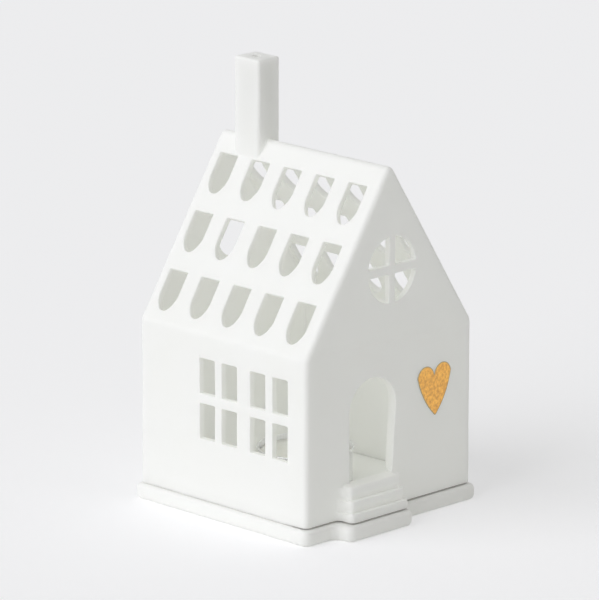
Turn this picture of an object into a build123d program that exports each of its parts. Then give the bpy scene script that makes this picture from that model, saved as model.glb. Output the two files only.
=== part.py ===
from build123d import *
import os
from math import atan2, cos, sin

# Tealight house: a slip-cast porcelain house, open below, that stands loose on a porcelain plate
# over a tealight. Millimetres. The front gable with the door faces -Y, the wall with the windows
# faces -X and +Z is up. The origin is on the underside of the plate, below the middle of the walls.

# Walls and roof of the house, heights from the foot of the walls
house_width = 90.0
house_depth = 90.6
eave_height = 66.1
ridge_height = 135.5
wall = 2.5
corner_round = 2.0
eave_round = 5.0
ridge_round = 2.6

# Chimney, astride the ridge towards the back
chimney_width = 11.6
chimney_depth = 13.7
chimney_rise = 29.6
chimney_root = 11.6
chimney_back = 26.8
chimney_round = 1.3
chimney_top_round = 1.0
vent_bore = 3.2

# Tile-shaped piercings, the same on both slopes, measured up the slope from the eave line
tile_rows = 3
tile_columns = 5
tile_width = 9.8
tile_length = 16.8
tile_arch = 7.4
tile_foot_round = 3.2
tile_first = 5.0
tile_row_pitch = 24.8
tile_column_pitch = 17.4
tile_back = 0.9

# Windows of two by two panes in the wall that faces -X
window_count = 2
window_sill = 24.6
window_front = 10.0
window_gap = 7.2
pane_width = 8.2
pane_height = 14.1
mullion = 3.8
transom = 3.8

# Doorway in the front gable
door_left = 21.7
door_width = 25.0
door_sill = 13.7
door_top = 53.0
door_lean = 1.9

# Round window with crossed bars, high in the front gable
round_radius = 13.0
round_height = 93.4
round_right = 0.9
upright_bar = 3.0
cross_bar = 3.6

# Plain round opening high in the back gable
back_round_radius = 10.0
back_round_height = 92.2
back_round_right = 4.3

# Stair at the door, cast in one with the walls and hollow below
step_count = 3
step_tread = 1.4
top_step_reach = 4.7
top_step_width = 27.3
step_splay = 0.9
stair_left = 12.2
step_round = 1.2
stair_corner_round = 1.8

# Plate that the house stands on, with a tongue below the stair
plate_thickness = 6.3
plate_overhang = 2.0
plate_tongue_left = 3.3
plate_tongue_right = 1.2
plate_tongue_flat = 0.6
plate_corner_round = 3.2
plate_tongue_round = 3.2
plate_top_round = 2.0
plate_foot_round = 2.0

# Gold heart, fired onto the gable beside the door
heart_width = 18.4
heart_height = 20.5
heart_cleft = 4.0
heart_flank_bulge = 1.4
heart_tip_round = 0.7
heart_right = 24.9
heart_foot = 31.3
heart_tilt = 2.0
heart_film = 0.15

# Tealight: aluminium cup, wax, wick and the tin foot that holds the wick
cup_radius = 19.0
cup_height = 15.0
cup_sheet = 0.3
cup_rim = 0.6
cup_rim_height = 1.2
wax_below_rim = 2.5
wick_radius = 0.8
wick_above_wax = 6.0
foot_radius = 6.5
foot_sheet = 0.3
foot_neck_radius = 1.5
foot_neck_height = 5.0

# Overrun of every cut
overrun = 1.0

half_width = house_width / 2
half_depth = house_depth / 2
roof_rise = ridge_height - eave_height
pitch = atan2(roof_rise, half_width)
lowest_reach = top_step_reach + (step_count - 1) * step_tread
lowest_step_width = top_step_width + 2 * (step_count - 1) * step_splay


def gable_section(inset):
    """Cross-section of the house from foot to ridge, drawn inwards by inset."""
    half = half_width - inset
    apex = ridge_height - inset / cos(pitch)
    eave = apex - half * roof_rise / half_width
    return make_face(Polyline((-half, 0), (half, 0), (half, eave), (0, apex), (-half, eave), close=True))


def house_block():
    """Solid form of the four walls and the roof, with its soft outer edges."""
    section = gable_section(0)
    corners = section.vertices().sort_by(Axis.Y)
    section = fillet(corners[2:4], eave_round)
    section = fillet(section.vertices().sort_by(Axis.Y)[-1], ridge_round)
    block = extrude(Plane.XZ * section, half_depth, both=True)
    gables = block.faces().sort_by(Axis.Y)
    rims = gables[0].edges() + gables[-1].edges()
    return fillet(rims.filter_by(Axis.X, reverse=True), corner_round)


def house_room():
    """Space inside the walls and below the roof, open at the foot."""
    room = extrude(Plane.XZ * gable_section(wall), half_depth - wall, both=True)
    mouth = Box(house_width - 2 * wall, house_depth - 2 * wall, 2 * overrun)
    return room + mouth


def chimney_block():
    """Solid form of the chimney, soft at its corners and at its top."""
    plan = RectangleRounded(chimney_width, chimney_depth, chimney_round)
    block = extrude(plan, chimney_root + chimney_rise)
    block = fillet(block.edges().group_by(Axis.Z)[-1], chimney_top_round)
    return Pos(0, chimney_back, ridge_height - chimney_root) * block


def chimney_hollow():
    """Space inside the chimney, closed at the top but for the vent."""
    depth = chimney_root + chimney_rise
    hollow = Pos(0, 0, ridge_height + chimney_rise - wall - depth / 2) * Box(
        chimney_width - 2 * wall, chimney_depth - 2 * wall, depth)
    vent = Pos(0, 0, ridge_height + chimney_rise - wall) * Cylinder(
        vent_bore / 2, 2 * (wall + overrun))
    return Pos(0, chimney_back, 0) * (hollow + vent)


def step_block(number):
    """One step of the stair as a block from the foot up, counted from the top step down."""
    reach = top_step_reach + number * step_tread
    width = top_step_width + 2 * number * step_splay
    height = door_sill * (step_count - number) / step_count
    depth = reach + wall
    plan = Rectangle(width, depth, align=(Align.CENTER, Align.MIN))
    plan = fillet(plan.vertices().sort_by(Axis.Y)[:2], stair_corner_round)
    block = extrude(plan, height)
    nose = block.faces().sort_by(Axis.Z)[-1].edges().sort_by(Axis.Y)[:-1]
    block = fillet(nose, step_round)
    return Pos(-stair_left, -half_depth - reach, 0) * block


def stair_hollow():
    """Space below the stair, one wall thickness inside it and open to the room."""
    top = door_sill - wall
    back = -half_depth + wall + overrun
    lowest_front = -half_depth - lowest_reach + wall
    top_front = -half_depth - top_step_reach + wall
    profile = Polyline((back, -overrun), (lowest_front, -overrun), (lowest_front, 0),
                       (top_front, top), (back, top), close=True)
    width = top_step_width - 2 * wall
    return Pos(-stair_left, 0, 0) * extrude(Plane.YZ * make_face(profile), width / 2, both=True)


def doorway():
    """Cut for the doorway, with its round head and its right jamb leaning in towards the sill."""
    left = -door_left
    right = left + door_width
    spring = door_top - door_width / 2
    sides = Polyline((left, spring), (left, door_sill), (right - door_lean, door_sill), (right, spring))
    head = ThreePointArc((right, spring), ((left + right) / 2, door_top), (left, spring))
    cut = extrude(Plane.XZ * make_face(sides + head), wall + 2 * overrun)
    return Pos(0, -half_depth + wall + overrun, 0) * cut


def panes():
    """Cuts for the panes of the windows in the wall that faces -X."""
    window_width = 2 * pane_width + mullion
    cuts = []
    for window in range(window_count):
        front = -half_depth + window_front + window * (window_width + window_gap)
        for column in range(2):
            for row in range(2):
                middle = front + pane_width / 2 + column * (pane_width + mullion)
                height = window_sill + pane_height / 2 + row * (pane_height + transom)
                pane = Box(wall + 2 * overrun, pane_width, pane_height)
                cuts.append(Pos(-half_width + wall / 2, middle, height) * pane)
    return cuts


def tile_outline():
    """Outline of one tile shape: flat above, its sides drawing in from tile_arch to a round foot."""
    half = tile_width / 2
    drop = tile_arch - tile_foot_round
    flank = (half**2 + drop**2 - tile_foot_round**2) / (2 * (half - tile_foot_round))
    share = tile_foot_round / (flank - tile_foot_round)
    join = ((flank - half) * share, tile_foot_round - drop * share)
    sides = Polyline((-half, tile_arch), (-half, tile_length), (half, tile_length), (half, tile_arch))
    right_flank = TangentArc((half, tile_arch), join, tangent=(0, -1))
    foot = ThreePointArc(join, (0, 0), (-join[0], join[1]))
    return make_face(sides + right_flank + foot + mirror(right_flank, about=Plane.YZ))


def tile_piercings():
    """Cuts for the tile shapes on both slopes."""
    cutter = Pos(0, 0, -wall - overrun) * extrude(tile_outline(), wall + 2 * overrun)
    slope = Plane(origin=(half_width, 0, eave_height), x_dir=(0, 1, 0), z_dir=(sin(pitch), 0, cos(pitch)))
    cuts = []
    for row in range(tile_rows):
        for column in range(tile_columns):
            along = tile_back + (column - (tile_columns - 1) / 2) * tile_column_pitch
            up = tile_first + row * tile_row_pitch
            cut = slope * Pos(along, up) * cutter
            cuts.append(cut)
            cuts.append(mirror(cut, about=Plane.YZ))
    return cuts


def round_windows():
    """Cuts high in the gables: four quarters of a circle in front and a plain circle behind."""
    quarters = Circle(round_radius) - Rectangle(upright_bar, 2 * round_radius)
    quarters -= Rectangle(2 * round_radius, cross_bar)
    depth = wall + 2 * overrun
    front = Pos(round_right, -half_depth + wall + overrun, round_height)
    back = Pos(back_round_right, half_depth + overrun, back_round_height)
    return [front * extrude(Plane.XZ * quarters, depth),
            back * extrude(Plane.XZ * Circle(back_round_radius), depth)]


def house_shell():
    """The whole porcelain house: walls, roof, chimney and stair in one casting."""
    shell = house_block() + chimney_block()
    for number in range(step_count):
        shell += step_block(number)
    shell -= [house_room(), chimney_hollow(), stair_hollow(), doorway()]
    shell -= panes() + tile_piercings() + round_windows()
    return Pos(0, 0, plate_thickness) * shell


def plate_plan():
    """Outline of the plate: the walls' footprint with a tongue for the stair, all corners round.

    The tongue's two rounds on each side leave at least a short straight stretch between them.
    """
    front = -half_depth - plate_overhang
    plan = Rectangle(house_width + 2 * plate_overhang, house_depth + 2 * plate_overhang)
    plan = fillet(plan.vertices(), plate_corner_round)
    tongue_width = plate_tongue_left + lowest_step_width + plate_tongue_right
    tongue = Rectangle(tongue_width, lowest_reach - front, align=(Align.CENTER, Align.MAX))
    tongue_round = min(plate_tongue_round, (lowest_reach - plate_tongue_flat) / 2)
    tongue = fillet(tongue.vertices().sort_by(Axis.Y)[:2], tongue_round)
    plan += Pos((plate_tongue_right - plate_tongue_left) / 2 - stair_left, 0) * tongue
    front_line = plan.vertices().group_by(Axis.Y)[2]
    roots = front_line.sort_by(Axis.X)[1:3]
    return fillet(roots, tongue_round)


def base_plate():
    """Plate below the walls and the stair, round at its top edge and at its foot."""
    plate = extrude(plate_plan(), plate_thickness)
    plate = fillet(plate.faces().sort_by(Axis.Z)[-1].edges(), plate_top_round)
    return fillet(plate.faces().sort_by(Axis.Z)[0].edges(), plate_foot_round)


def gold_heart():
    """Thin film of gold in the shape of a heart, leaning a little to the left."""
    shoulder = (heart_width / 2, heart_height - heart_cleft)
    cleft = (0, heart_height - heart_cleft)
    lobe = ThreePointArc(cleft, (heart_width / 4, heart_height), shoulder)
    flank = SagittaArc(shoulder, (0, 0), heart_flank_bulge)
    half = make_face(lobe + flank + Line((0, 0), cleft))
    heart = half + mirror(half, about=Plane.YZ)
    heart = fillet(heart.vertices().sort_by(Axis.Y)[0], heart_tip_round)
    film = extrude(Plane.XZ * Rot(0, 0, heart_tilt) * heart, heart_film)
    return Pos(heart_right, -half_depth, plate_thickness + heart_foot) * film


def tealight_cup():
    """Drawn aluminium cup, its rim folded outwards and pressed flat."""
    outer = cup_radius - cup_rim
    inner = outer - cup_sheet
    rim_foot = cup_height - cup_rim_height
    outline = Polyline((0, 0), (outer, 0), (outer, rim_foot), (cup_radius, rim_foot),
                       (cup_radius, cup_height), (inner, cup_height), (inner, cup_sheet), (0, cup_sheet),
                       close=True)
    return Pos(0, 0, plate_thickness) * revolve(Plane.XZ * make_face(outline), Axis.Z)


def wick_foot():
    """Tin disc below the wax, with a neck that grips the wick."""
    disc = Cylinder(foot_radius, foot_sheet, align=(Align.CENTER, Align.CENTER, Align.MIN))
    neck = Cylinder(foot_neck_radius, foot_neck_height, align=(Align.CENTER, Align.CENTER, Align.MIN))
    bore = Cylinder(wick_radius, 2 * foot_neck_height + overrun)
    return Pos(0, 0, plate_thickness + cup_sheet) * (disc + neck - bore)


def tealight_wick():
    """Straight cotton wick, from the cup's floor to above the wax."""
    length = cup_height - wax_below_rim - cup_sheet + wick_above_wax
    wick = Cylinder(wick_radius, length, align=(Align.CENTER, Align.CENTER, Align.MIN))
    return Pos(0, 0, plate_thickness + cup_sheet) * wick


def tealight_wax(foot, wick):
    """Wax that fills the cup round the wick and its foot."""
    depth = cup_height - wax_below_rim - cup_sheet
    wax = Cylinder(cup_radius - cup_rim - cup_sheet, depth, align=(Align.CENTER, Align.CENTER, Align.MIN))
    return Pos(0, 0, plate_thickness + cup_sheet) * wax - foot - wick


foot = wick_foot()
wick = tealight_wick()
pieces = {
    "base_plate": base_plate(),
    "house_shell": house_shell(),
    "gold_heart": gold_heart(),
    "tealight_cup": tealight_cup(),
    "tealight_wax": tealight_wax(foot, wick),
    "tealight_wick": wick,
    "wick_foot": foot,
}
os.makedirs("parts", exist_ok=True)
for name, piece in pieces.items():
    export_step(piece, f"parts/{name}.step")
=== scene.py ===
"""Looks of a porcelain tealight house, in metres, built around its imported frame."""

import logging
import math
from collections.abc import Sequence
from dataclasses import dataclass
from enum import Enum

import bmesh
import bpy
import numpy as np
from mathutils import Matrix, Vector


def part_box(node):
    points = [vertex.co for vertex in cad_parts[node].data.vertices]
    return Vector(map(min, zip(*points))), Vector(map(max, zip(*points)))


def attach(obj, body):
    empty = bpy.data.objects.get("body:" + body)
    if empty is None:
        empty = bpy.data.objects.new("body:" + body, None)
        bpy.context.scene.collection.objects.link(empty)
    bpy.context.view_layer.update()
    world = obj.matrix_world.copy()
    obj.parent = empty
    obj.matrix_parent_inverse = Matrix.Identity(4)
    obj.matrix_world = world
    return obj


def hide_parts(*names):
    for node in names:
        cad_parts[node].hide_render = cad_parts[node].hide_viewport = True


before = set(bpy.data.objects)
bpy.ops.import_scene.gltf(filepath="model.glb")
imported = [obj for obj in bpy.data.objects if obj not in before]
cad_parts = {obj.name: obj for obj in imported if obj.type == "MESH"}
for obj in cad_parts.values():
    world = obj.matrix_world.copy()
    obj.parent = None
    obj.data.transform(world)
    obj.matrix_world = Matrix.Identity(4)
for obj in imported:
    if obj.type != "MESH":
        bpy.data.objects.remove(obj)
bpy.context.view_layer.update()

LOG = logging.getLogger("tealight_house")
MM = 0.001
BELOW_ALL = -1.0
Colour = tuple[float, float, float]
Plan = list[tuple[float, float]]
Socket = bpy.types.NodeSocket


class Slot(Enum):
    """Material slots of the record, one for each of the pieces' finishes."""

    SHELL = "shell_porcelain"
    PLATE = "plate_porcelain"
    GOLD = "gold_lustre"
    CUP = "cup_aluminium"
    WAX = "candle_wax"
    WICK = "wick_cotton"
    FOOT = "wick_foot_tin"


class Body(Enum):
    """Bodies of the frame that the pieces ride on."""

    BASE = "base"
    HOUSE = "house"
    TEALIGHT = "tealight"


class Detail(Enum):
    """Finer octaves of a noise."""

    NONE = 1.0
    SOME = 2.0
    PLAIN = 3.0
    RICH = 4.0
    MOST = 5.0


class NodeBench:
    """Lays out the nodes of a material or a world."""

    # Sockets of a Mix node that take and give colours
    mix_first, mix_second, mix_result = 6, 7, 2

    def __init__(self, owner: bpy.types.Material | bpy.types.World, shader: str) -> None:
        """Start on the owner's nodes.

        Args:
            owner: Material or world.
            shader: Name of the shader that it has from its start.
        """
        owner.use_nodes = True
        self.tree = owner.node_tree
        self.shader = self.tree.nodes[shader]
        self.place = self.node("TexCoord").outputs["Object"]

    def set(self, **values: float | tuple) -> None:
        """Set the shader's own sockets.

        Args:
            values: Socket names with underscores for spaces, and their values.
        """
        for name, value in values.items():
            self.shader.inputs[name.replace("_", " ")].default_value = value

    def node(self, kind: str, **settings: object) -> bpy.types.Node:
        """Add a node.

        Args:
            kind: Type name after ShaderNode.
            settings: Properties of the node.

        Returns:
            The new node.
        """
        made = self.tree.nodes.new("ShaderNode" + kind)
        for name, value in settings.items():
            setattr(made, name, value)
        return made

    def link(self, source: Socket, target: Socket) -> None:
        """Join two sockets."""
        self.tree.links.new(source, target)

    def stretched(self, scale: tuple[float, float, float]) -> Socket:
        """Give object coordinates stretched along the axes.

        Args:
            scale: Factor along X, Y and Z.

        Returns:
            The stretched coordinates.
        """
        mapping = self.node("Mapping")
        mapping.inputs["Scale"].default_value = scale
        self.link(self.place, mapping.inputs["Vector"])
        return mapping.outputs["Vector"]

    def noise(self, size: float, detail: Detail, place: Socket | None = None) -> Socket:
        """Add a noise texture.

        Args:
            size: Size of its patches in metres.
            detail: Its finer octaves.
            place: Coordinates, or None for the object's own.

        Returns:
            The noise value, about a half.
        """
        made = self.node("TexNoise")
        made.inputs["Scale"].default_value = 1.0 / size
        made.inputs["Detail"].default_value = detail.value
        self.link(place or self.place, made.inputs["Vector"])
        return made.outputs["Fac"]

    def ramp(self, value: Socket, low: float, high: float, start: float = 0.35,
             end: float = 0.65) -> Socket:
        """Map a value to a range.

        Args:
            value: Socket to map.
            low: Result at start and below.
            high: Result at end and above.
            start: Lower end of the value.
            end: Upper end of the value.

        Returns:
            The mapped value.
        """
        made = self.node("MapRange")
        for name, number in (("From Min", start), ("From Max", end), ("To Min", low), ("To Max", high)):
            made.inputs[name].default_value = number
        self.link(value, made.inputs["Value"])
        return made.outputs["Result"]

    def mix(self, share: Socket, first: Colour | Socket, second: Colour) -> Socket:
        """Mix two colours.

        Args:
            share: Socket with the second colour's share.
            first: Colour or socket at share 0.
            second: Colour at share 1.

        Returns:
            The mixed colour.
        """
        made = self.node("Mix", data_type="RGBA")
        self.link(share, made.inputs["Factor"])
        if isinstance(first, tuple):
            made.inputs[self.mix_first].default_value = (*first, 1.0)
        else:
            self.link(first, made.inputs[self.mix_first])
        made.inputs[self.mix_second].default_value = (*second, 1.0)
        return made.outputs[self.mix_result]

    def bump(self, height: Socket, depth: float, below: Socket | None = None) -> Socket:
        """Add a bump.

        Args:
            height: Socket with heights from 0 to 1.
            depth: Height of the relief in metres.
            below: Normal of a coarser bump below this one.

        Returns:
            The bumped normal.
        """
        made = self.node("Bump")
        made.inputs["Distance"].default_value = depth
        self.link(height, made.inputs["Height"])
        if below is not None:
            self.link(below, made.inputs["Normal"])
        return made.outputs["Normal"]

    def coat(self, colour: Socket, rough: Socket, normal: Socket) -> None:
        """Link the shader's colour, roughness and normal."""
        for name, source in (("Base Color", colour), ("Roughness", rough), ("Normal", normal)):
            self.link(source, self.shader.inputs[name])


class Finish:
    """Finish of a piece, as a material of its own."""

    def material(self, name: str) -> bpy.types.Material:
        """Make the material.

        Args:
            name: Name of the material.

        Returns:
            The dressed material.
        """
        material = bpy.data.materials.new(name)
        self.lay_on(NodeBench(material, "Principled BSDF"))
        return material

    def lay_on(self, bench: NodeBench) -> None:
        """Lay out the finish's own nodes."""
        raise NotImplementedError


@dataclass(frozen=True)
class Porcelain(Finish):
    """Unglazed white porcelain, polished smooth and a little translucent.

    Two attributes of the mesh steer its painted shade: one is 1 where the colour is darkened where light
    falls full on the piece, and the other is the height below which its foot is painted near black, as
    shade in the gap under it.
    """

    body: Colour = (0.962, 0.965, 0.947)
    cloud: Colour = (0.952, 0.955, 0.932)
    rough: tuple[float, float] = (0.5, 0.62)
    ior: float = 1.5
    # Painted shade: the darker colour where light falls full on a piece.
    painted_outer_shade: Colour = (0.925, 0.928, 0.905)
    # Painted shade: the near-black colour of the foot, standing in for the shade in the gap under it.
    painted_gap_shade: Colour = (0.19, 0.165, 0.14)
    painted_gap_shade_edge: float = 0.1 * MM
    cloud_size: float = 18 * MM
    grain_size: float = 0.9 * MM
    grain_depth: float = 0.012 * MM
    wave_size: float = 9 * MM
    wave_depth: float = 0.03 * MM
    glow_share: float = 0.4
    glow_depth: float = 16 * MM
    glow_radius: Colour = (1.0, 1.0, 1.0)

    def lay_on(self, bench: NodeBench) -> None:
        """Lay out a clouded body with painted shade: darker where light falls full, and near black at the
        foot's gap.

        Args:
            bench: Bench of the material.
        """
        cloud = bench.ramp(bench.noise(self.cloud_size, Detail.RICH), 0.0, 1.0)
        colour = bench.mix(cloud, self.body, self.cloud)
        # Painted shade: darker where the attribute marks the piece.
        painted_outer_shade = bench.node("Attribute", attribute_name="painted_outer_shade").outputs["Fac"]
        colour = bench.mix(painted_outer_shade, colour, self.painted_outer_shade)
        # Painted shade at the foot: near black below the height that the attribute gives.
        split = bench.node("SeparateXYZ")
        bench.link(bench.place, split.inputs[0])
        above = bench.node("Math", operation="SUBTRACT")
        bench.link(split.outputs["Z"], above.inputs[0])
        bench.link(bench.node("Attribute", attribute_name="painted_gap_shade").outputs["Fac"], above.inputs[1])
        in_gap_shade = bench.ramp(above.outputs[0], 1.0, 0.0, -self.painted_gap_shade_edge, self.painted_gap_shade_edge)
        grain = bench.noise(self.grain_size, Detail.SOME)
        waves = bench.bump(bench.noise(self.wave_size, Detail.NONE), self.wave_depth)
        bench.coat(bench.mix(in_gap_shade, colour, self.painted_gap_shade), bench.ramp(grain, *self.rough),
                   bench.bump(grain, self.grain_depth, waves))
        bench.set(IOR=self.ior, Subsurface_Weight=self.glow_share, Subsurface_Scale=self.glow_depth,
                  Subsurface_Radius=self.glow_radius)


@dataclass(frozen=True)
class GoldLustre(Finish):
    """Thin fired gold, satin and mottled, dark and dull along its rim."""

    rich: Colour = (1.0, 0.58, 0.15)
    thin: Colour = (0.72, 0.37, 0.12)
    edge: Colour = (0.42, 0.37, 0.24)
    rough: tuple[float, float] = (0.36, 0.55)
    patch_size: float = 1.1 * MM
    fleck_size: float = 0.35 * MM
    fleck_depth: float = 0.02 * MM

    def lay_on(self, bench: NodeBench) -> None:
        """Lay out mottled gold with a dull rim.

        Args:
            bench: Bench of the material.
        """
        patch = bench.ramp(bench.noise(self.patch_size, Detail.MOST), 0.0, 1.0)
        rim = bench.node("Attribute", attribute_name="rim").outputs["Fac"]
        gold = bench.mix(patch, self.rich, self.thin)
        fleck = bench.noise(self.fleck_size, Detail.PLAIN)
        bench.coat(bench.mix(rim, gold, self.edge), bench.ramp(fleck, *self.rough),
                   bench.bump(fleck, self.fleck_depth))
        bench.set(Metallic=1.0)


@dataclass(frozen=True)
class DrawnMetal(Finish):
    """Thin drawn sheet metal with fine lines along the draw."""

    colour: Colour
    dull: Colour
    rough: tuple[float, float]
    line_size: float = 0.25 * MM
    line_length_share: float = 0.04
    line_depth: float = 0.008 * MM

    def lay_on(self, bench: NodeBench) -> None:
        """Lay out metal with upright lines.

        Args:
            bench: Bench of the material.
        """
        upright = bench.stretched((1.0, 1.0, self.line_length_share))
        lines = bench.noise(self.line_size, Detail.SOME, upright)
        colour = bench.mix(bench.ramp(lines, 0.0, 1.0), self.colour, self.dull)
        bench.coat(colour, bench.ramp(lines, *self.rough), bench.bump(lines, self.line_depth))
        bench.set(Metallic=1.0)


@dataclass(frozen=True)
class Paraffin(Finish):
    """White candle wax, satin, with a faint frost below the surface."""

    clear: Colour = (0.9, 0.89, 0.85)
    frost: Colour = (0.93, 0.925, 0.9)
    rough: tuple[float, float] = (0.34, 0.5)
    ior: float = 1.43
    frost_size: float = 3 * MM
    pit_size: float = 0.6 * MM
    pit_depth: float = 0.02 * MM
    glow_share: float = 0.6
    glow_depth: float = 2.5 * MM
    glow_radius: Colour = (1.0, 0.95, 0.9)

    def lay_on(self, bench: NodeBench) -> None:
        """Lay out wax with frosted patches and fine pits.

        Args:
            bench: Bench of the material.
        """
        frost = bench.ramp(bench.noise(self.frost_size, Detail.MOST), 0.0, 1.0)
        pits = bench.noise(self.pit_size, Detail.SOME)
        bench.coat(bench.mix(frost, self.clear, self.frost), bench.ramp(frost, *self.rough, 0.0, 1.0),
                   bench.bump(pits, self.pit_depth))
        bench.set(IOR=self.ior, Subsurface_Weight=self.glow_share, Subsurface_Scale=self.glow_depth,
                  Subsurface_Radius=self.glow_radius)


@dataclass(frozen=True)
class WaxedCotton(Finish):
    """Braided cotton, stiff with wax."""

    yarn: Colour = (0.82, 0.79, 0.7)
    # Painted shade in the creases between the fibres.
    crease_shade: Colour = (0.6, 0.56, 0.47)
    rough: tuple[float, float] = (0.6, 0.85)
    fibre_length_share: float = 0.3
    fibre_size: float = 0.18 * MM
    fibre_depth: float = 0.03 * MM

    def lay_on(self, bench: NodeBench) -> None:
        """Lay out upright fibres, darker where their bump is lowest, as painted shade in the creases.

        Args:
            bench: Bench of the material.
        """
        upright = bench.stretched((1.0, 1.0, self.fibre_length_share))
        fibres = bench.noise(self.fibre_size, Detail.PLAIN, upright)
        colour = bench.mix(bench.ramp(fibres, 1.0, 0.0), self.yarn, self.crease_shade)
        bench.coat(colour, bench.ramp(fibres, *self.rough), bench.bump(fibres, self.fibre_depth))


def new_piece(name: str, points: Sequence = (), faces: Sequence = ()) -> bpy.types.Object:
    """Put a smooth-shaded piece into the scene.

    Args:
        name: Name of the piece.
        points: Its points, in the frame's own coordinates.
        faces: Its faces, as point numbers.

    Returns:
        The new object.
    """
    mesh = bpy.data.meshes.new(name)
    mesh.from_pydata(points, [], faces)
    piece = bpy.data.objects.new(name, mesh)
    bpy.context.scene.collection.objects.link(piece)
    mesh.shade_smooth()
    return piece


def applied(piece: bpy.types.Object) -> None:
    """Replace a piece's mesh by what its modifiers make of it.

    Args:
        piece: Object with modifiers, which are removed.
    """
    graph = bpy.context.evaluated_depsgraph_get()
    mesh = bpy.data.meshes.new_from_object(piece.evaluated_get(graph))
    piece.modifiers.clear()
    piece.data = mesh


def points_of(mesh: bpy.types.Mesh) -> np.ndarray:
    """Read a mesh's vertices.

    Args:
        mesh: Mesh to read.

    Returns:
        Rows of X, Y and Z.
    """
    points = np.empty(len(mesh.vertices) * 3)
    mesh.vertices.foreach_get("co", points)
    return points.reshape(-1, 3)


def relaxed(points: np.ndarray, edges: np.ndarray, passes: int, pull: np.ndarray) -> np.ndarray:
    """Move each point towards the middle of its neighbours, several times.

    Args:
        points: Rows of X, Y and Z.
        edges: Rows of two point numbers.
        passes: How many times.
        pull: Share of the way that each point goes in one pass.

    Returns:
        The moved points.
    """
    count = len(points)
    ends = np.concatenate((edges[:, 0], edges[:, 1]))
    others = np.concatenate((edges[:, 1], edges[:, 0]))
    neighbours = np.bincount(ends, minlength=count)[:, None]
    for _ in range(passes):
        sums = [np.bincount(ends, points[others, axis], count) for axis in range(3)]
        points = points + pull[:, None] * (np.stack(sums, 1) / neighbours - points)
    return points


def ring_faces(rings: int, count: int) -> list[tuple[int, ...]]:
    """Join each ring of points to the next one.

    Args:
        rings: Number of rings.
        count: Points of a ring.

    Returns:
        The faces, as point numbers.
    """
    faces = []
    for row in range(rings - 1):
        here, there = row * count, (row + 1) * count
        for place in range(count):
            after = (place + 1) % count
            faces.append((here + place, here + after, there + after, there + place))
    return faces


def faded(distance: np.ndarray, reach: float) -> np.ndarray:
    """Fade from 1 at no distance to 0 at reach, smoothly.

    Args:
        distance: Distances, where less than nothing counts as nothing.
        reach: Distance at which the result is 0.

    Returns:
        The faded shares.
    """
    share = np.clip(1.0 - distance / reach, 0.0, 1.0)
    return share * share * (3.0 - 2.0 * share)


@dataclass(frozen=True)
class Filling:
    """Upright body of slip in the inner corner between two walls, with a hollow round face.

    Attributes:
        side: 1 for a corner open towards +X, -1 for one open towards -X; both open towards -Y.
        radius: Radius of the hollow face.
        low: Height of its foot, as high is that of its top.
        overlap: How far it reaches into both walls.
    """

    corner: tuple[float, float]
    side: int
    radius: float
    low: float
    high: float
    overlap: float = 1.2 * MM
    steps: int = 8

    def outline(self) -> Plan:
        """Give the plan: the hollow round, then the parts inside both walls.

        Returns:
            X and Y of each point.
        """
        x, y = self.corner
        middle_x, middle_y = x + self.side * self.radius, y - self.radius
        plan = []
        for step in range(self.steps + 1):
            angle = math.pi / 2 * step / self.steps
            across, along = self.radius * math.cos(angle), self.radius * math.sin(angle)
            plan.append((middle_x - self.side * across, middle_y + along))
        plan += [(middle_x, y + self.overlap), (x - self.side * self.overlap, y + self.overlap),
                 (x - self.side * self.overlap, middle_y)]
        return plan if self.side < 0 else plan[::-1]

    def add_to(self, mesh: bmesh.types.BMesh) -> None:
        """Add the body to a mesh.

        Args:
            mesh: Mesh that takes it.
        """
        plan = self.outline()
        feet = [mesh.verts.new((x, y, self.low)) for x, y in plan]
        tops = [mesh.verts.new((x, y, self.high)) for x, y in plan]
        faces = [mesh.faces.new(feet), mesh.faces.new(tops[::-1])]
        for place in range(len(plan)):
            after = (place + 1) % len(plan)
            faces.append(mesh.faces.new((feet[after], feet[place], tops[place], tops[after])))
        bmesh.ops.recalc_face_normals(mesh, faces=faces)


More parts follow.
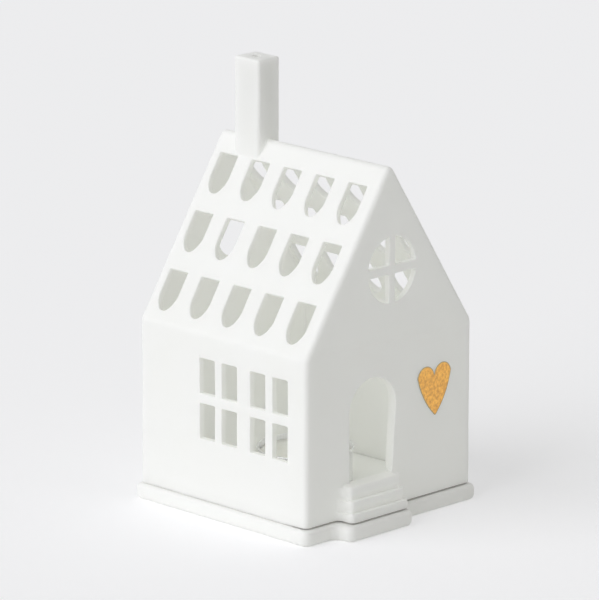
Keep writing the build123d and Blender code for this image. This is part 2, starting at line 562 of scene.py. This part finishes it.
@dataclass
class CastPorcelain:
    """A slip-cast piece: the frame's solid with a casting's soft rims and slight waves.

    Attributes:
        node: Node of the frame that it replaces.
        weld: Distance below which points of the frame's mesh are one.
        voxel: Grain of the mesh that is softened.
        rim_passes: Passes that round every rim.
        extra_passes: Passes that round the softer places.
        pass_pull: Share of the way to its neighbours' middle that a point goes in a pass.
        wave_skew: How much the slight waves turn with height and with X.
        wave_start: Where they begin along X and Y, in radians.
        kept_share: Share of the faces that stays in the end.
    """

    node: str
    name: str
    body: Body
    slot: Slot
    finish: Porcelain = Porcelain()
    weld: float = 0.001 * MM
    voxel: float = 0.3 * MM
    rim_passes: int = 1
    extra_passes: int = 6
    pass_pull: float = 0.5
    wave_height: float = 0.05 * MM
    wave_length: float = 34 * MM
    wave_skew: tuple[float, float] = (0.7, 0.8)
    wave_start: tuple[float, float] = (1.0, 2.0)
    kept_share: float = 0.16

    def extra_softness(self, points: np.ndarray) -> np.ndarray:
        """Tell where the casting is softer than at a plain rim, from 0 to 1 for each point."""
        return np.zeros(len(points))

    def fillings(self) -> list[Filling]:
        """Give the bodies of slip that fill the inner corners of the casting."""
        return []

    def cast(self) -> bpy.types.Object:
        """Build the soft mesh from the frame's solid and its fillings.

        Returns:
            The new piece.
        """
        mesh = bmesh.new()
        mesh.from_mesh(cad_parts[self.node].data)
        for filling in self.fillings():
            filling.add_to(mesh)
        piece = new_piece(self.name)
        mesh.to_mesh(piece.data)
        mesh.free()
        weld = piece.modifiers.new("weld", "WELD")
        weld.merge_threshold = self.weld
        remesh = piece.modifiers.new("remesh", "REMESH")
        remesh.mode = "VOXEL"
        remesh.voxel_size = self.voxel
        applied(piece)
        self.soften(piece.data)
        thin = piece.modifiers.new("thin", "DECIMATE")
        thin.ratio = self.kept_share
        applied(piece)
        piece.data.shade_smooth()
        flat = piece.modifiers.new("flat", "WEIGHTED_NORMAL")
        flat.keep_sharp = False
        return piece

    def soften(self, mesh: bpy.types.Mesh) -> None:
        """Round the rims and give the walls their slight waves.

        Args:
            mesh: Dense mesh of the piece, changed in place.
        """
        points = points_of(mesh)
        edges = np.empty(len(mesh.edges) * 2, dtype=np.int64)
        mesh.edges.foreach_get("vertices", edges)
        edges = edges.reshape(-1, 2)
        points = relaxed(points, edges, self.rim_passes, np.full(len(points), self.pass_pull))
        extra = self.extra_softness(points)
        if extra.any():
            points = relaxed(points, edges, self.extra_passes, self.pass_pull * extra)
        low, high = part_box(self.node)
        points = np.clip(self.carved(points) + self.waves(points), low, high)
        mesh.vertices.foreach_set("co", points.ravel())
        mesh.update()

    def carved(self, points: np.ndarray) -> np.ndarray:
        """Give the points their place after the piece's own fine carving, here unchanged."""
        return points

    def waves(self, points: np.ndarray) -> np.ndarray:
        """Give each point a slight shift that varies slowly from place to place.

        Args:
            points: Rows of X, Y and Z.

        Returns:
            Rows of shifts.
        """
        x, y, z = (points * (2 * math.pi / self.wave_length)).T
        along_x = np.sin(y + self.wave_skew[0] * z + self.wave_start[0])
        along_y = np.sin(self.wave_skew[1] * x + z + self.wave_start[1])
        return self.wave_height * np.stack((along_x, along_y, np.zeros(len(points))), 1)

    def painted_gap_shade(self, points: np.ndarray) -> np.ndarray:
        """Give the height below which the foot is painted near black as gap shade, here below every
        point.
        """
        return np.full(len(points), BELOW_ALL)

    def painted_outer_shade(self, points: np.ndarray) -> np.ndarray:
        """Tell how much painted shade darkens each point, here none."""
        return np.zeros(len(points))

    def dress(self, piece: bpy.types.Object) -> None:
        """Give the piece its porcelain and its body.

        Args:
            piece: The built piece.
        """
        points = points_of(piece.data)
        for name, values in (("painted_gap_shade", self.painted_gap_shade(points)), ("painted_outer_shade", self.painted_outer_shade(points))):
            piece.data.attributes.new(name, "FLOAT", "POINT").data.foreach_set("value", values)
        piece.data.materials.append(self.finish.material(self.name))
        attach(piece, self.body.value)
        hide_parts(self.node)

    def build(self) -> list[bpy.types.Object]:
        """Build and dress the piece.

        Returns:
            The piece, in a list.
        """
        piece = self.cast()
        self.dress(piece)
        return [piece]


@dataclass
class House(CastPorcelain):
    """The pierced house: soft at its foot, with coves and grooves at the stair and a faint seam.

    Heights of the door and stair are above the foot, places along X are the frame's own.

    Attributes:
        foot_reach: Height up to which the foot is softer.
        foot_gap: Height of the gap under the foot at the front gable.
        gap_rest: Share of that height which is left away from the gable.
        gap_reach: Distance from the gable over which the gap narrows.
        gap_open: Share of the narrow gap at which the foot counts as open and gets its painted shade.
        painted_shade_share: Height up to which the open foot is painted near black as shade, as a share
            of the gap.
        cove: Radius of the hollows beside the stair.
        cove_drop: How far their tops lie below the treads.
        groove_depth: Depth of the inner corners between the steps.
        lip_depth: How much thicker the wall is round the door.
        lip_reach: Distance from the door over which this fades.
        lip_sill: Height above the sill over which it begins.
        seam_left: Height of the mould's seam at the gable's left end.
        seam_reach: Depth below the gable's face at which it ends.
    """

    wall: float = 2.5 * MM
    foot_reach: float = 1.0 * MM
    foot_gap: float = 0.4 * MM
    gap_rest: float = 0.2
    gap_reach: float = 14.0 * MM
    gap_open: float = 0.3
    painted_shade_share: float = 1.5
    stair_middle: float = -12.2 * MM
    stair_width: float = 27.3 * MM
    stair_splay: float = 0.9 * MM
    stair_top: float = 13.7 * MM
    stair_steps: int = 3
    stair_reach: float = 7.5 * MM
    tread: float = 1.4 * MM
    corner_round: float = 1.8 * MM
    cove: float = 2.8 * MM
    cove_drop: float = 0.6 * MM
    groove_depth: float = 0.95 * MM
    groove_width: float = 1.6 * MM
    door_left: float = -21.7 * MM
    door_radius: float = 12.5 * MM
    door_spring: float = 40.5 * MM
    door_lean: float = 1.9 * MM
    lip_depth: float = 1.7 * MM
    lip_reach: float = 4.0 * MM
    lip_sill: float = 2.0 * MM
    seam_left: float = 74.0 * MM
    seam_right: float = 70.2 * MM
    seam_depth: float = 0.1 * MM
    seam_reach: float = 0.625 * MM
    seam_width: float = 0.35 * MM

    def gable(self) -> float:
        """Give the Y of the front gable's face."""
        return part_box(self.node)[0].y + self.stair_reach

    def extra_softness(self, points: np.ndarray) -> np.ndarray:
        """Tell where the foot is, from 0 to 1 for each point."""
        return faded(points[:, 2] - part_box(self.node)[0].z, self.foot_reach)

    def fillings(self) -> list[Filling]:
        """Give the coves between the stair's sides and the gable.

        Returns:
            One for each side of each step.
        """
        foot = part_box(self.node)[0].z
        coves = []
        for step in range(self.stair_steps):
            half = self.stair_width / 2 + step * self.stair_splay
            high = foot + self.stair_top * (self.stair_steps - step) / self.stair_steps - self.cove_drop
            for side in (-1, 1):
                corner = (self.stair_middle + side * half, self.gable())
                coves.append(Filling(corner, side, self.cove, foot, high))
        return coves

    def carved(self, points: np.ndarray) -> np.ndarray:
        """Raise the foot's outer part a little, groove the stair and draw the seam.

        Args:
            points: Rows of X, Y and Z.

        Returns:
            The moved points.
        """
        low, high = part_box(self.node)
        x, y, z = points.T.copy()
        lift = self.gap(points) * faded(z - low.z, 2 * self.foot_reach)
        groove_x, groove_y, groove_z = self.grooves(points)
        share = (x - low.x) / (high.x - low.x)
        seam = z - self.seam_left - (self.seam_right - self.seam_left) * share
        on_gable = faded(np.abs(y - self.gable()), self.seam_reach)
        dent = self.seam_depth * np.exp(-((seam / self.seam_width) ** 2)) * on_gable
        return np.stack((x + groove_x, y + groove_y + dent + self.lip(points), z + groove_z + lift), 1)

    def gap(self, points: np.ndarray) -> np.ndarray:
        """Give the height of the gap below the foot, widest at the gable and closed inside.

        Args:
            points: Rows of X, Y and Z.

        Returns:
            The gap's height at each point.
        """
        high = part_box(self.node)[1]
        x, y, _ = points.T.copy()
        outward = np.maximum(np.abs(x) - high.x, np.maximum(y - high.y, self.gable() - y)) + self.wall
        front = self.gap_rest + (1.0 - self.gap_rest) * faded(y - self.gable(), self.gap_reach)
        return self.foot_gap * front * (1.0 - faded(outward, self.wall / 2))

    def painted_gap_shade(self, points: np.ndarray) -> np.ndarray:
        """Give the height up to which the foot is painted near black as shade in the gap, where the gap
        is open.

        Args:
            points: Rows of X, Y and Z.

        Returns:
            The height for each point.
        """
        # Painted shade: near black up to a share of the gap, where the gap is open.
        gap = self.gap(points)
        is_open = gap > self.gap_open * self.gap_rest * self.foot_gap
        return np.where(is_open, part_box(self.node)[0].z + self.painted_shade_share * gap, BELOW_ALL)

    def lip(self, points: np.ndarray) -> np.ndarray:
        """Give the shifts along Y that thicken the wall inwards round the door.

        Args:
            points: Rows of X, Y and Z.

        Returns:
            Shifts along Y.
        """
        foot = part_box(self.node)[0].z
        x, y, z = points.T.copy()
        spring, sill = foot + self.door_spring, foot + self.stair_top
        middle = self.door_left + self.door_radius
        lean = self.door_lean * np.clip((spring - z) / (spring - sill), 0.0, 1.0)
        right = middle + self.door_radius - lean
        beside = np.maximum(self.door_left - x, x - right)
        above = np.hypot(x - middle, z - spring) - self.door_radius
        away = np.where(z > spring, above, beside)
        depth = np.clip((y - self.gable()) / self.wall, 0.0, 1.0) * (y < self.gable() + 2 * self.wall)
        started = 1.0 - faded(z - sill, self.lip_sill)
        return self.lip_depth * depth * faded(away, self.lip_reach) * started

    def grooves(self, points: np.ndarray) -> list[np.ndarray]:
        """Give the shifts that deepen the inner corners between the steps.

        Args:
            points: Rows of X, Y and Z.

        Returns:
            Shifts along X, Y and Z.
        """
        x, y, z = points.T.copy()
        shifts = [np.zeros(len(points)) for _ in range(3)]
        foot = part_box(self.node)[0].z
        aside = x - self.stair_middle
        for step in range(self.stair_steps - 1):
            below = self.stair_steps - 1 - step
            half = self.stair_width / 2 + step * self.stair_splay - self.corner_round
            reach = self.stair_reach - below * self.tread - self.corner_round
            over_x, over_y = np.abs(aside) - half, self.gable() - y - reach
            round_x, round_y = np.maximum(over_x, 0.0), np.maximum(over_y, 0.0)
            length = np.hypot(round_x, round_y)
            outside = length + np.minimum(np.maximum(over_x, over_y), 0.0) - self.corner_round
            height = foot + self.stair_top * below / self.stair_steps
            depth = self.groove_depth * faded(np.hypot(outside, z - height), self.groove_width)
            depth *= y < self.gable()
            length = np.maximum(length, self.voxel)
            shifts[0] -= depth * np.sign(aside) * round_x / length
            shifts[1] += depth * round_y / length
            shifts[2] -= depth
        return shifts


@dataclass
class Plate(CastPorcelain):
    """The plate: flat, with painted light inside the house and painted shade outside its walls."""

    # Body lighter than the house's: painted light on the plate inside the house, where shade falls.
    finish: Porcelain = Porcelain(body=(0.98, 0.985, 0.985), cloud=(0.97, 0.975, 0.97))
    wave_height: float = 0.0
    inner: float = 44.0 * MM

    def painted_outer_shade(self, points: np.ndarray) -> np.ndarray:
        """Tell which points lie outside the house's walls."""
        return (np.abs(points[:, :2]).max(1) > self.inner).astype(float)


@dataclass
class Heart:
    """The gold heart, fired onto the gable: a thin film that is dull and darker along its rim.

    Attributes:
        insets: Distance of each outer ring from the rim.
        rims: How much each outer ring counts as rim, from 0 to 1.
        rises: Height of each outer ring, as a share of the film's thickness.
        inner_rings: Number of steps from the last of these to the middle.
        face_depth: Depth within which a point of the frame's mesh lies on the film's face.
        digits: Digits to which two such points have to agree to be one.
    """

    node: str = "gold_heart"
    finish: GoldLustre = GoldLustre()
    insets: tuple[float, ...] = (0.0, 0.12 * MM, 0.3 * MM, 0.55 * MM)
    rims: tuple[float, ...] = (1.0, 1.0, 0.55, 0.0)
    rises: tuple[float, ...] = (0.3, 0.75, 0.95, 1.0)
    inner_rings: int = 10
    face_depth: float = 0.01 * MM
    digits: int = 7

    def outline(self) -> np.ndarray:
        """Read the heart's outline from the frame, once round.

        Returns:
            Rows of X and Z.
        """
        points = points_of(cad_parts[self.node].data)
        on_face = points[:, 1] < points[:, 1].min() + self.face_depth
        front = np.unique(points[on_face][:, [0, 2]].round(self.digits), axis=0)
        middle = (front.min(0) + front.max(0)) / 2
        turn = np.arctan2(*(front - middle).T[::-1])
        return front[np.argsort(turn)]

    def rings(self, rim: np.ndarray) -> list[tuple[np.ndarray, float, float]]:
        """Lay the film's rings, from its rim to its middle.

        Args:
            rim: Rows of X and Z of the outline.

        Returns:
            For each ring its rows of X and Z, its share of the thickness and its share of the rim.
        """
        along = np.roll(rim, -1, 0) - np.roll(rim, 1, 0)
        inward = np.stack((-along[:, 1], along[:, 0]), 1) / np.hypot(*along.T)[:, None]
        outer = [rim + inset * inward for inset in self.insets]
        rings = list(zip(outer, self.rises, self.rims))
        middle = rim.mean(0)
        for step in range(1, self.inner_rings):
            share = 1.0 - step / self.inner_rings
            rings.append((middle + share * (outer[-1] - middle), 1.0, 0.0))
        return rings

    def film(self) -> bpy.types.Object:
        """Build the film with its face, its edge and its flat back.

        Returns:
            The film.
        """
        low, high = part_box(self.node)
        rim = self.outline()
        count = len(rim)
        rings = self.rings(rim)
        points, marks = [], []
        for ring, rise, mark in rings:
            y = high.y + (low.y - high.y) * rise
            points += [(x, y, z) for x, z in ring]
            marks += [mark] * count
        middle = rim.mean(0)
        points.append((middle[0], low.y, middle[1]))
        marks.append(0.0)
        faces = ring_faces(len(rings), count)
        top = (len(rings) - 1) * count
        faces += [(top + place, top + (place + 1) % count, top + count) for place in range(count)]
        back = len(points)
        points += [(x, high.y, z) for x, z in rim]
        marks += [1.0] * count
        for place in range(count):
            after = (place + 1) % count
            faces.append((back + place, back + after, after, place))
        faces.append(tuple(back + place for place in reversed(range(count))))
        film = new_piece("fired_gold", points, faces)
        film.data.attributes.new("rim", "FLOAT", "POINT").data.foreach_set("value", marks)
        return film

    def build(self) -> list[bpy.types.Object]:
        """Build and dress the heart.

        Returns:
            The heart, in a list.
        """
        heart = self.film()
        heart.data.materials.append(self.finish.material("fired_gold"))
        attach(heart, Body.HOUSE.value)
        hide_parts(self.node)
        return [heart]


@dataclass
class Tealight:
    """A tealight: aluminium cup, wax, wick and the tin foot below the wax.

    Attributes:
        bead: Radius of the rolled rim.
        bead_span: Start and length of the rim's roll, in half turns.
        draft: How much wider the cup's wall is at its top than at its bottom.
        inner_break: Depth below the rim at which the wall's inside takes the rest of its draft.
        cup_steps: Steps of the bottom's round, the wall and the rim.
        flute_start: Share of the wall's height above which the faint flutes show.
        wax_gap: How much smaller the wax is than its room in the frame.
        climb_reach: Width of the wax that climbs the wick.
        seat_share: Where the wax ends inside the wick, as a share of its radius.
        dip_place: Radius at which the wax's dip is deepest, and its width.
        strand_share: Depth between strands, as a share of the wick's radius.
        tip_share: Share of the wick's length that rounds off.
        tip_least: Radius at the very tip, as a share.
        wick_grid: Rows and flats of the wick.
    """

    turns: int = 144
    sheet: float = 0.2 * MM
    bead: float = 0.36 * MM
    bead_span: tuple[float, float] = (-0.75, 1.6)
    draft: float = 0.1 * MM
    bottom_round: float = 1.2 * MM
    inner_break: float = 6.0 * MM
    cup_steps: tuple[int, int, int] = (5, 6, 11)
    flute_count: int = 48
    flute_depth: float = 0.05 * MM
    flute_start: float = 0.02
    wax_gap: float = 0.22 * MM
    wax_round: float = 1.0 * MM
    wax_steps: int = 24
    meniscus: float = 0.5 * MM
    meniscus_reach: float = 0.8 * MM
    climb_reach: float = 0.5 * MM
    seat_share: float = 0.6
    dip: float = 0.35 * MM
    dip_place: tuple[float, float] = (2.2 * MM, 2.4 * MM)
    strands: int = 3
    lay: float = 4.5 * MM
    strand_share: float = 0.2
    tip_share: float = 0.04
    tip_least: float = 0.12
    wick_grid: tuple[int, int] = (90, 36)
    metal: DrawnMetal = DrawnMetal((0.9, 0.9, 0.91), (0.8, 0.8, 0.81), (0.26, 0.4))
    tin: DrawnMetal = DrawnMetal((0.72, 0.72, 0.72), (0.6, 0.6, 0.6), (0.3, 0.45))
    wax: Paraffin = Paraffin()
    cotton: WaxedCotton = WaxedCotton()

    def lathe(self, name: str, profile: Plan) -> bpy.types.Object:
        """Turn a closed profile about the upright axis.

        Args:
            name: Name of the piece.
            profile: Radius and height of each point, from the axis and back to it.

        Returns:
            The turned piece.
        """
        steps = [2 * math.pi * turn / self.turns for turn in range(self.turns)]
        inner = profile[1:-1]
        points = [(r * math.cos(a), r * math.sin(a), z) for r, z in inner for a in steps]
        faces = ring_faces(len(inner), self.turns)
        first, last = len(points), len(points) + 1
        points += [(0.0, 0.0, profile[0][1]), (0.0, 0.0, profile[-1][1])]
        top = (len(inner) - 1) * self.turns
        for turn in range(self.turns):
            after = (turn + 1) % self.turns
            faces.append((first, after, turn))
            faces.append((last, top + turn, top + after))
        return new_piece(name, points, faces)

    def cup_profile(self) -> Plan:
        """Draw the cup's section: bottom, wall, rolled rim, and back down inside.

        Returns:
            Radius and height of each point.
        """
        low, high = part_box("tealight_cup")
        lip = high.x - 2 * self.bead
        foot = lip - self.draft
        turn = self.bottom_round
        top = high.z - self.bead
        round_steps, wall_steps, bead_steps = self.cup_steps
        profile = [(0.0, low.z), (foot - turn, low.z)]
        for step in range(1, round_steps + 1):
            angle = math.pi / 2 * step / round_steps
            radius = foot - turn + turn * math.sin(angle)
            profile.append((radius, low.z + turn - turn * math.cos(angle)))
        for step in range(1, wall_steps + 1):
            share = step / wall_steps
            rise = (top - self.bead - low.z - turn) * share
            profile.append((foot + self.draft * share, low.z + turn + rise))
        start, span = self.bead_span
        for step in range(1, bead_steps + 1):
            angle = math.pi * (start + span * step / bead_steps)
            radius = lip + self.bead + self.bead * math.cos(angle)
            profile.append((radius, top + self.bead * math.sin(angle)))
        wall = lip - self.sheet
        profile += [(wall, top), (wall - self.draft / 2, top - self.inner_break),
                    (foot - self.sheet, low.z + turn), (foot - turn, low.z + self.sheet),
                    (0.0, low.z + self.sheet)]
        return profile

    def cup(self) -> bpy.types.Object:
        """Build the drawn cup with its rolled rim and faint flutes.

        Returns:
            The cup.
        """
        low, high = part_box("tealight_cup")
        cup = self.lathe("aluminium_cup", self.cup_profile())
        points = points_of(cup.data)
        height = (points[:, 2] - low.z) / (high.z - self.bead - low.z)
        angle = np.arctan2(points[:, 1], points[:, 0])
        fading = np.clip(1.0 - height, 0.0, 1.0) * (height > self.flute_start)
        depth = self.flute_depth * np.sin(self.flute_count * angle) * fading
        points[:, :2] -= points[:, :2] / high.x * np.abs(depth)[:, None]
        cup.data.vertices.foreach_set("co", points.ravel())
        return cup

    def filling(self) -> bpy.types.Object:
        """Build the wax with its raised edge and the dip round the wick.

        Returns:
            The wax.
        """
        low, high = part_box("tealight_wax")
        radius = high.x - self.wax_gap
        seat = self.seat_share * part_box("tealight_wick")[1].x
        place, width = self.dip_place
        bevel = self.wax_round
        profile = [(0.0, low.z), (radius - bevel, low.z), (radius, low.z + bevel)]
        for step in range(self.wax_steps + 1):
            reach = seat + (radius - seat) * (1.0 - step / self.wax_steps)
            edge = self.meniscus * math.exp(-(radius - reach) / self.meniscus_reach)
            pool = -self.dip * math.exp(-((reach - place) / width) ** 2)
            climb = self.meniscus * math.exp(-(reach - seat) / self.climb_reach)
            profile.append((reach, high.z + edge + pool + climb))
        profile.append((0.0, profile[-1][1]))
        return self.lathe("candle_wax", profile)

    def string(self) -> bpy.types.Object:
        """Build the twisted wick.

        Returns:
            The wick.
        """
        low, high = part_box("tealight_wick")
        rows, turns = self.wick_grid
        points = []
        for row in range(rows + 1):
            height = row / rows
            z = low.z + (high.z - low.z) * height
            past = max(0.0, (height - 1.0 + self.tip_share) / self.tip_share)
            tip = max(math.sqrt(max(0.0, 1.0 - past ** 2)), self.tip_least)
            for turn in range(turns):
                angle = 2 * math.pi * turn / turns
                twist = angle * self.strands / 2 - math.pi * self.strands * z / self.lay
                strand = 1.0 - self.strand_share * (1.0 - abs(math.cos(twist)))
                radius = high.x * strand * tip
                points.append((radius * math.cos(angle), radius * math.sin(angle), z))
        faces = ring_faces(rows + 1, turns)
        faces.append(tuple(reversed(range(turns))))
        faces.append(tuple(rows * turns + turn for turn in range(turns)))
        return new_piece("cotton_wick", points, faces)

    def build(self) -> list[bpy.types.Object]:
        """Build and dress the tealight's pieces.

        Returns:
            Cup, wax, wick and foot.
        """
        pieces = []
        for piece, node, slot, finish in (
            (self.cup(), "tealight_cup", Slot.CUP, self.metal),
            (self.filling(), "tealight_wax", Slot.WAX, self.wax),
            (self.string(), "tealight_wick", Slot.WICK, self.cotton),
        ):
            piece.data.materials.append(finish.material(piece.name))
            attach(piece, Body.TEALIGHT.value)
            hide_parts(node)
            pieces.append(piece)
        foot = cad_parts["wick_foot"]
        foot.data.materials.clear()
        foot.data.materials.append(self.tin.material("wick_foot"))
        return [*pieces, foot]


@dataclass
class Studio:
    """A plain pale floor under soft light from the upper left.

    Attributes:
        floor_reach: Half the floor's width.
        floor_albedo: How much light the floor gives back to the house.
        floor_shown: Colour of the floor where it is looked at.
        floor_lift: Level that is added there.
        floor_tint: Colour of this level.
        sky_inner_gain: Gain of the sky for light that has bounced inside the house.
        sky_inner_depth: Number of bounces from which this holds.
        sky_shown: Colour of the backdrop behind the floor.
        key_from: Direction that the soft lamp shines from.
    """

    floor_reach: float = 6.0
    floor_albedo: float = 0.9
    floor_shown: Colour = (0.66, 0.66, 0.66)
    floor_lift: float = 0.357
    floor_tint: Colour = (1.0, 1.0, 1.04)
    floor_rough: float = 0.9
    sky_tint: Colour = (1.0, 1.0, 0.965)
    sky_strength: float = 0.48
    sky_inner_gain: float = 1.55
    sky_inner_depth: float = 4.0
    sky_shown: Colour = (0.84, 0.84, 0.86)
    key_power: float = 1.56
    key_tint: Colour = (0.98, 0.985, 1.03)
    key_spread_deg: float = 60.0
    key_from: tuple[float, float, float] = (-0.42, 0.1, 0.27)
    light_bounces: int = 32

    def seen(self, bench: NodeBench) -> Socket:
        """Add nodes that tell whether a camera, glossy or transmission ray looks.

        Args:
            bench: Bench of a material or the world.

        Returns:
            A value of 1 for such a ray.
        """
        path = bench.node("LightPath")
        total = path.outputs["Is Camera Ray"]
        for name in ("Is Glossy Ray", "Is Transmission Ray"):
            most = bench.node("Math", operation="MAXIMUM")
            bench.link(total, most.inputs[0])
            bench.link(path.outputs[name], most.inputs[1])
            total = most.outputs[0]
        return total

    def floor(self) -> bpy.types.Object:
        """Build the floor.

        Returns:
            The floor.
        """
        reach = self.floor_reach
        corners = [(reach * x, reach * y, 0.0) for x, y in ((-1, -1), (1, -1), (1, 1), (-1, 1))]
        floor = new_piece("floor", corners, [(0, 1, 2, 3)])
        material = bpy.data.materials.new("pale_floor")
        bench = NodeBench(material, "Principled BSDF")
        grey = (self.floor_albedo,) * 3
        seen = self.seen(bench)
        bench.link(bench.mix(seen, grey, self.floor_shown), bench.shader.inputs["Base Color"])
        lift = bench.ramp(seen, 0.0, self.floor_lift, 0.0, 1.0)
        bench.link(lift, bench.shader.inputs["Emission Strength"])
        tint = (*self.floor_tint, 1.0)
        bench.set(Roughness=self.floor_rough, Specular_IOR_Level=0.0, Emission_Color=tint)
        floor.data.materials.append(material)
        return floor

    def sky(self) -> None:
        """Light the scene from all round, more strongly for light that bounced inside the house."""
        world = bpy.data.worlds.new("soft_studio")
        bench = NodeBench(world, "Background")
        bench.set(Color=(*self.sky_tint, 1.0))
        depth = bench.node("LightPath").outputs["Ray Depth"]
        inner = self.sky_strength * self.sky_inner_gain
        gain = bench.ramp(depth, self.sky_strength, inner, self.sky_inner_depth - 1, self.sky_inner_depth)
        bench.link(gain, bench.shader.inputs["Strength"])
        shown = bench.node("Background")
        shown.inputs["Color"].default_value = (*self.sky_shown, 1.0)
        choose = bench.node("MixShader")
        bench.link(self.seen(bench), choose.inputs[0])
        bench.link(bench.shader.outputs[0], choose.inputs[1])
        bench.link(shown.outputs[0], choose.inputs[2])
        bench.link(choose.outputs[0], bench.tree.nodes["World Output"].inputs[0])
        bpy.context.scene.world = world

    def key(self) -> bpy.types.Object:
        """Add the large soft light at the upper left.

        Returns:
            The lamp.
        """
        data = bpy.data.lights.new("key", "SUN")
        data.energy = self.key_power
        data.color = self.key_tint
        data.angle = math.radians(self.key_spread_deg)
        lamp = bpy.data.objects.new("key", data)
        bpy.context.scene.collection.objects.link(lamp)
        lamp.rotation_mode = "QUATERNION"
        lamp.rotation_quaternion = Vector(self.key_from).to_track_quat("Z", "Y")
        return lamp

    def build(self) -> None:
        """Build the floor, the sky and the lamp, and let light bounce long inside the house."""
        self.floor()
        self.sky()
        self.key()
        scene = bpy.context.scene
        scene.view_settings.view_transform = "Standard"
        scene.cycles.max_bounces = self.light_bounces
        scene.cycles.diffuse_bounces = self.light_bounces


@dataclass
class PhotoCamera:
    """The camera that took the photograph, found from the house's straight edges.

    Its azimuth is 0 for a look along +Y, and negative for one turned towards +X.
    """

    place: tuple[float, float, float] = (-1.4736, -1.4715, 0.6296)
    azimuth_deg: float = -44.974
    elevation_deg: float = 14.797
    roll_deg: float = 0.093
    focal_mm: float = 336.1
    sensor_mm: float = 36.0

    def build(self) -> bpy.types.Object:
        """Add the camera and make it the scene's.

        Returns:
            The camera.
        """
        azimuth = math.radians(self.azimuth_deg)
        elevation = math.radians(self.elevation_deg)
        roll = math.radians(self.roll_deg)
        flat = math.cos(elevation)
        back = Vector((math.sin(azimuth) * flat, -math.cos(azimuth) * flat, math.sin(elevation)))
        level = Vector((math.cos(azimuth), math.sin(azimuth), 0.0))
        upright = back.cross(level)
        right = math.cos(roll) * level + math.sin(roll) * upright
        up = math.cos(roll) * upright - math.sin(roll) * level
        data = bpy.data.cameras.new("camera")
        data.lens = self.focal_mm
        data.sensor_width = self.sensor_mm
        camera = bpy.data.objects.new("camera", data)
        bpy.context.scene.collection.objects.link(camera)
        turn = Matrix((right, up, back)).transposed()
        camera.matrix_world = Matrix.Translation(Vector(self.place)) @ turn.to_4x4()
        bpy.context.scene.camera = camera
        return camera


def main() -> None:
    """Build every piece in order, the studio and the camera."""
    logging.basicConfig(level=logging.INFO, format="%(message)s")
    assemblies = (
        House("house_shell", "porcelain_house", Body.HOUSE, Slot.SHELL),
        Plate("base_plate", "porcelain_plate", Body.BASE, Slot.PLATE),
        Heart(),
        Tealight(),
    )
    for assembly in assemblies:
        for piece in assembly.build():
            LOG.info("built %s with %d faces", piece.name, len(piece.data.polygons))
    Studio().build()
    PhotoCamera().build()


if __name__ == "__main__":
    main()
